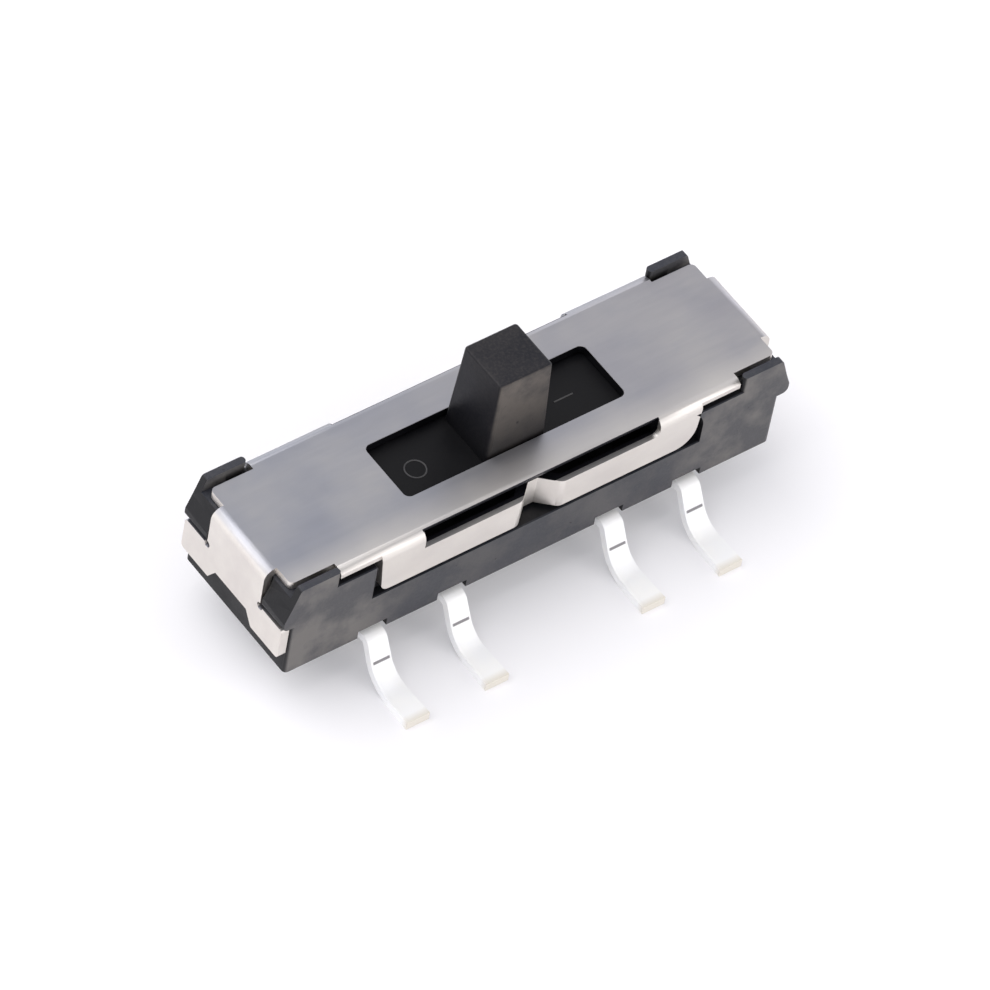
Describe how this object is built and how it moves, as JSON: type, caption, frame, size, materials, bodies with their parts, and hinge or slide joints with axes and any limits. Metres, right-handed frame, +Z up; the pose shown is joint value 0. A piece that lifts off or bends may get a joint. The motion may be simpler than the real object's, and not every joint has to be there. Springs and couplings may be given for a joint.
{
  "type": "slide switch",
  "caption": "Miniature surface-mount slide switch with a folded steel cover, a moulded housing, gull-wing terminals and a square knob that slides in a window",
  "frame": {"origin": "under the middle of the body, on the plane that the feet stand on", "axes": "+X along the slider's travel and the body's length, +Y towards the rear row of terminals, +Z up through the knob"},
  "size_m": [0.0128, 0.0072, 0.0055],
  "materials": {
    "housing_plastic": "dark grey glass-filled moulding, satin",
    "slider_plastic": "near-black moulding, satin",
    "cover_metal": "tinned sheet, soft satin with faint mottling",
    "terminal_metal": "matt tin plate",
    "clip_metal": "plated spring bronze"
  },
  "bodies": {
    "base": {"housing": "housing_plastic", "cover": "cover_metal", "terminal_front_1": "terminal_metal", "terminal_front_2": "terminal_metal", "terminal_front_3": "terminal_metal", "terminal_front_4": "terminal_metal", "terminal_rear_1": "terminal_metal", "terminal_rear_2": "terminal_metal", "terminal_rear_3": "terminal_metal", "terminal_rear_4": "terminal_metal"},
    "slider": {"slider": "slider_plastic", "contact_clip_front": "clip_metal", "contact_clip_rear": "clip_metal"}
  },
  "joints": [
    {"name": "knob_slide", "type": "slide", "parent": "base", "child": "slider", "axis": [1, 0, 0], "range_m": [-0.002, 0.002]}
  ]
}
